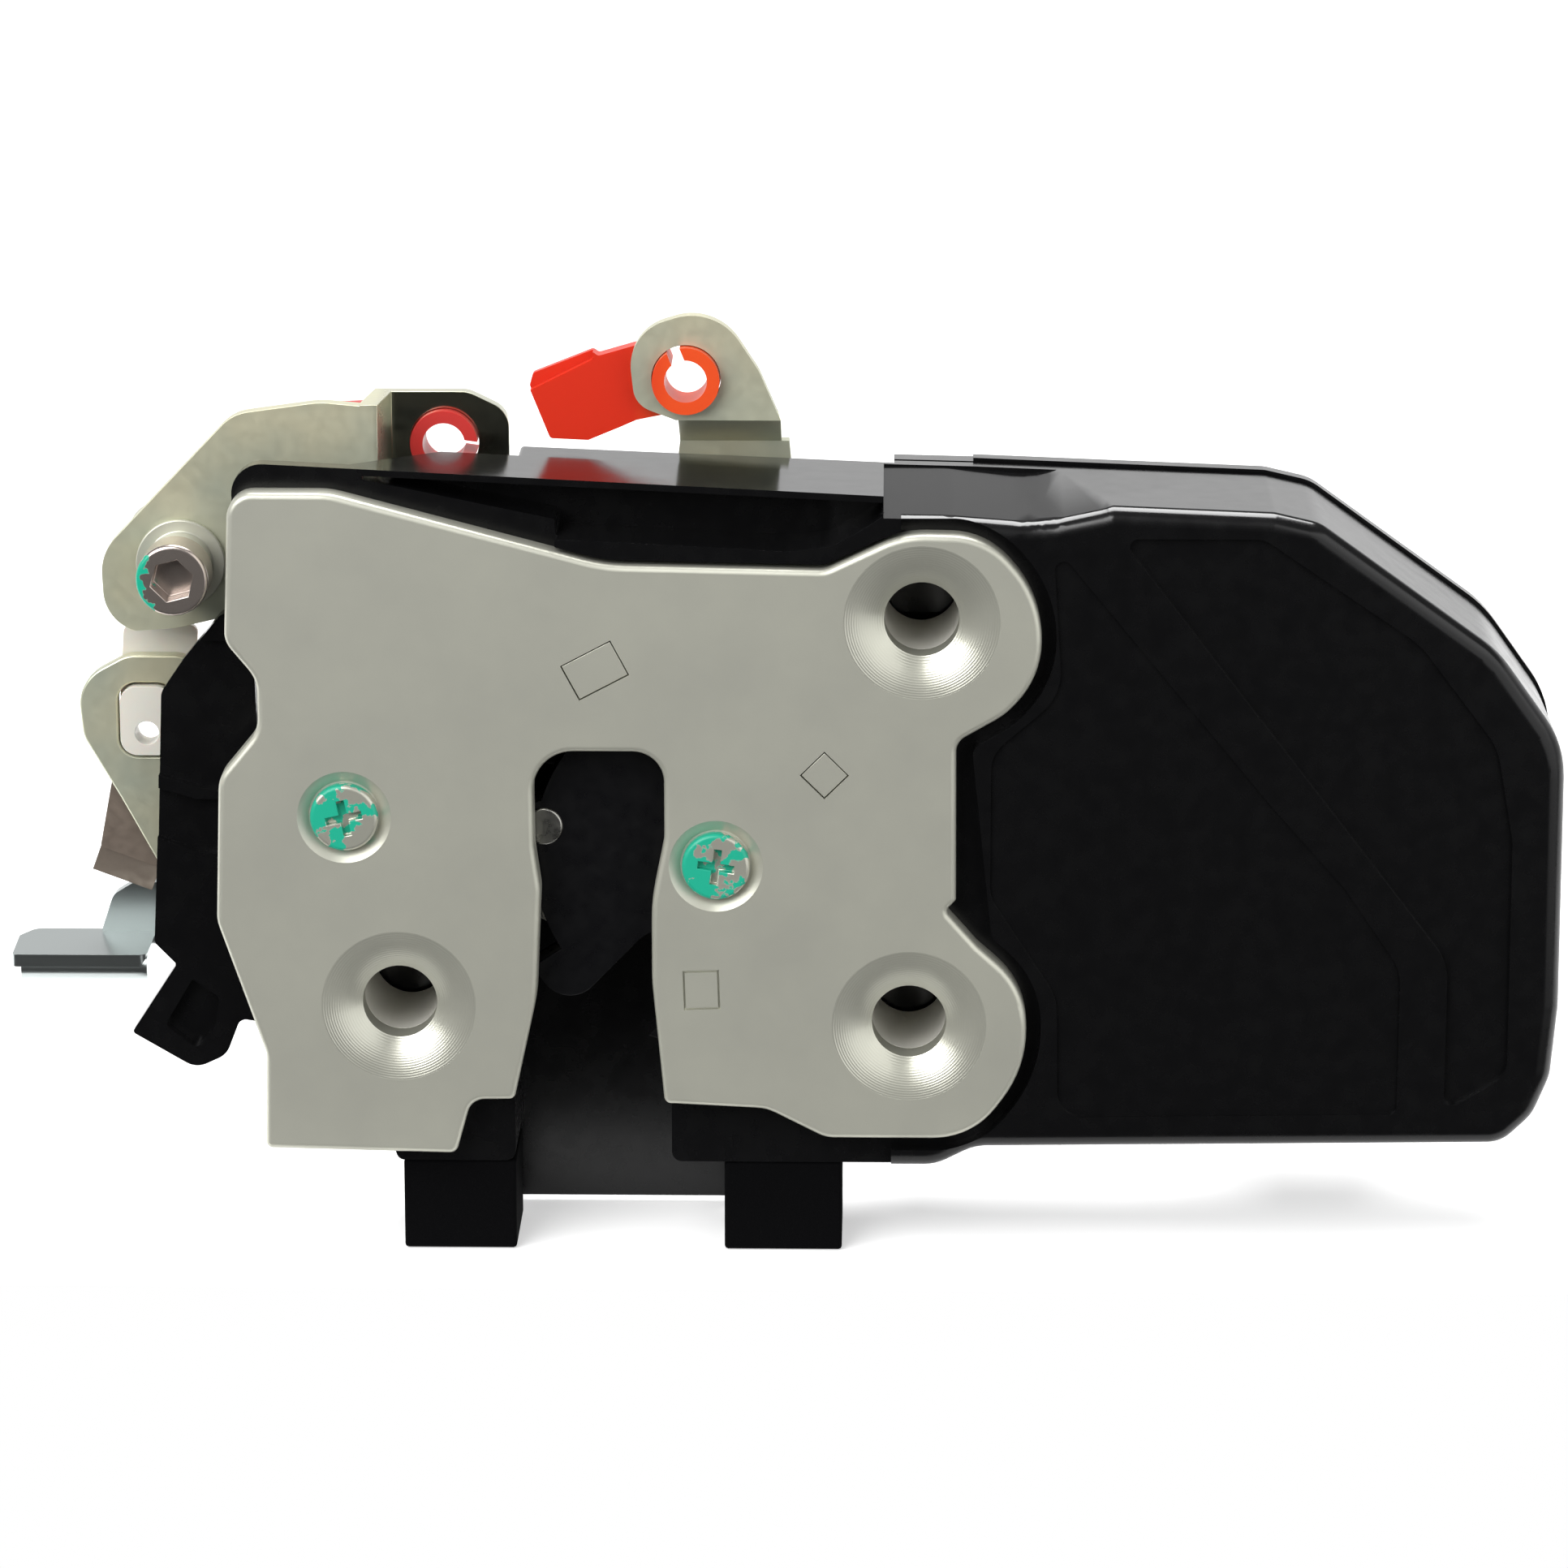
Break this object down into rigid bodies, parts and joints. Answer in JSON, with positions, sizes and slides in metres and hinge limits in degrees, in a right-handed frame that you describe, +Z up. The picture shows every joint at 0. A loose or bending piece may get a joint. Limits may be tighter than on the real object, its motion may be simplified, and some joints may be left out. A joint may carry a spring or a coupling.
{
  "type": "door latch actuator",
  "caption": "Side-door latch with a dished mounting plate, turning fork in a striker slot, pawl, release and lock levers with rod clips, and an electric lock drive in a case.",
  "frame": {"origin": "centre of the lower-left fixing bore at the front end of its wall, at the bottom of its dimple", "axes": "+X along the latch towards the actuator case, +Y into the door from the visible face, +Z up"},
  "size_m": [0.1806, 0.0403, 0.108],
  "materials": {
    "zinc_plate": "satin zinc plating",
    "black_plastic": "glossy",
    "steel": "satin",
    "stainless": "bright",
    "passivated_steel": "yellow-green passivated zinc",
    "phosphated_steel": "matt phosphate",
    "overmould": "satin",
    "foam": "matt closed-cell foam",
    "rubber": "matt",
    "red_plastic": "satin",
    "orange_plastic": "satin",
    "white_plastic": "satin",
    "gear_plastic": "satin",
    "spring_steel": "oiled",
    "iron": "dark",
    "bronze": "sintered",
    "tinned_pins": "tinned"
  },
  "bodies": {
    "frame": {"frame_plate": "zinc_plate", "anchor_nuts": "passivated_steel", "main_housing": "black_plastic", "back_plate": "zinc_plate", "fork_post": "steel", "pawl_post": "steel", "plate_screws": "zinc_plate", "striker_bumper": "rubber", "seal_pads": "foam", "pivot_bush": "zinc_plate", "pivot_bolt": "stainless", "pivot_nut": "zinc_plate", "side_bracket": "phosphated_steel", "side_spacers": "zinc_plate", "side_pin": "steel", "lock_pin": "steel", "latch_cover": "black_plastic", "wheel_axle": "steel", "motor_can": "zinc_plate", "motor_magnets": "iron", "motor_end_cap": "overmould", "shaft_bearing": "bronze", "lid_seal": "rubber", "case_lid": "black_plastic", "lid_screws": "zinc_plate", "connector_socket": "overmould", "connector_pins": "tinned_pins", "fork_spring": "spring_steel", "pawl_spring": "spring_steel", "release_spring": "spring_steel"},
    "fork": {"fork_core": "steel", "fork_cover": "overmould", "fork_pin": "steel"},
    "pawl_body": {"pawl": "steel", "pawl_lift_pin": "steel"},
    "release_lever_body": {"release_lever": "passivated_steel"},
    "red_clip": {"red_rod_clip": "red_plastic"},
    "side_lever_body": {"side_lever": "passivated_steel", "white_rod_clip": "white_plastic"},
    "inside_arm_body": {"inside_arm": "zinc_plate"},
    "top_lever_body": {"top_lever": "passivated_steel", "tail_pin": "steel"},
    "orange_clip": {"orange_rod_clip": "orange_plastic"},
    "link": {"lock_link": "gear_plastic"},
    "wheel": {"worm_wheel": "gear_plastic"},
    "rotor": {"rotor_shaft": "steel", "rotor_core": "iron", "worm": "gear_plastic"}
  },
  "joints": [
    {"name": "fork_turn", "type": "hinge", "parent": "frame", "child": "fork", "pos_m": [0.0366, 0.005, 0.0169], "axis": [0, 1, 0], "range_deg": [0, 46], "stiffness_Nm_per_rad": 0.02, "springref_deg": -34.38, "deforming": ["fork_spring"]},
    {"name": "pawl_turn", "type": "hinge", "parent": "frame", "child": "pawl_body", "pos_m": [-0.0059, 0.005, 0.0225], "axis": [0, 1, 0], "range_deg": [-4, 15], "deforming": ["pawl_spring"]},
    {"name": "release_lever_turn", "type": "hinge", "parent": "frame", "child": "release_lever_body", "pos_m": [-0.0253, 0.0118, 0.0494], "axis": [0, 1, 0], "range_deg": [-18, 0], "stiffness_Nm_per_rad": 0.02, "springref_deg": 22.92, "deforming": ["release_spring"]},
    {"name": "red_clip_turn", "type": "hinge", "parent": "release_lever_body", "child": "red_clip", "pos_m": [0.0047, 0.0198, 0.062], "axis": [0, 1, 0], "range_deg": [-15, 15]},
    {"name": "side_lever_turn", "type": "hinge", "parent": "frame", "child": "side_lever_body", "pos_m": [-0.019, 0.0164, 0.008], "axis": [0, 1, 0], "range_deg": [-6, 10]},
    {"name": "inside_arm_turn", "type": "hinge", "parent": "frame", "child": "inside_arm_body", "pos_m": [-0.019, 0.0219, 0.008], "axis": [0, 1, 0], "range_deg": [-20, 0]},
    {"name": "worm_wheel_turn", "type": "hinge", "parent": "frame", "child": "wheel", "pos_m": [0.088, 0.0136, 0.02785], "axis": [0, 1, 0], "range_deg": [-40, 0]},
    {"name": "lock_link_slide", "type": "slide", "parent": "frame", "child": "link", "axis": [1, 0, 0], "range_m": [-0.0035, 0]},
    {"name": "top_lever_turn", "type": "hinge", "parent": "frame", "child": "top_lever_body", "pos_m": [0.038, 0.023, 0.0465], "axis": [0, 1, 0], "range_deg": [0, 20]},
    {"name": "rotor_spin", "type": "hinge", "parent": "frame", "child": "rotor", "pos_m": [0.088, 0.0136, 0.0153], "axis": [1, 0, 0], "range_deg": [-1210, 0]},
    {"name": "orange_clip_turn", "type": "hinge", "parent": "top_lever_body", "child": "orange_clip", "pos_m": [0.0328, 0.017, 0.07], "axis": [0, 1, 0], "range_deg": [0, 25]}
  ],
  "couplings": [
    {"joint": "lock_link_slide", "follows": "worm_wheel_turn", "m_per_rad": 0.005},
    {"joint": "top_lever_turn", "follows": "worm_wheel_turn", "ratio": -0.5},
    {"joint": "rotor_spin", "follows": "worm_wheel_turn", "ratio": 30}
  ]
}
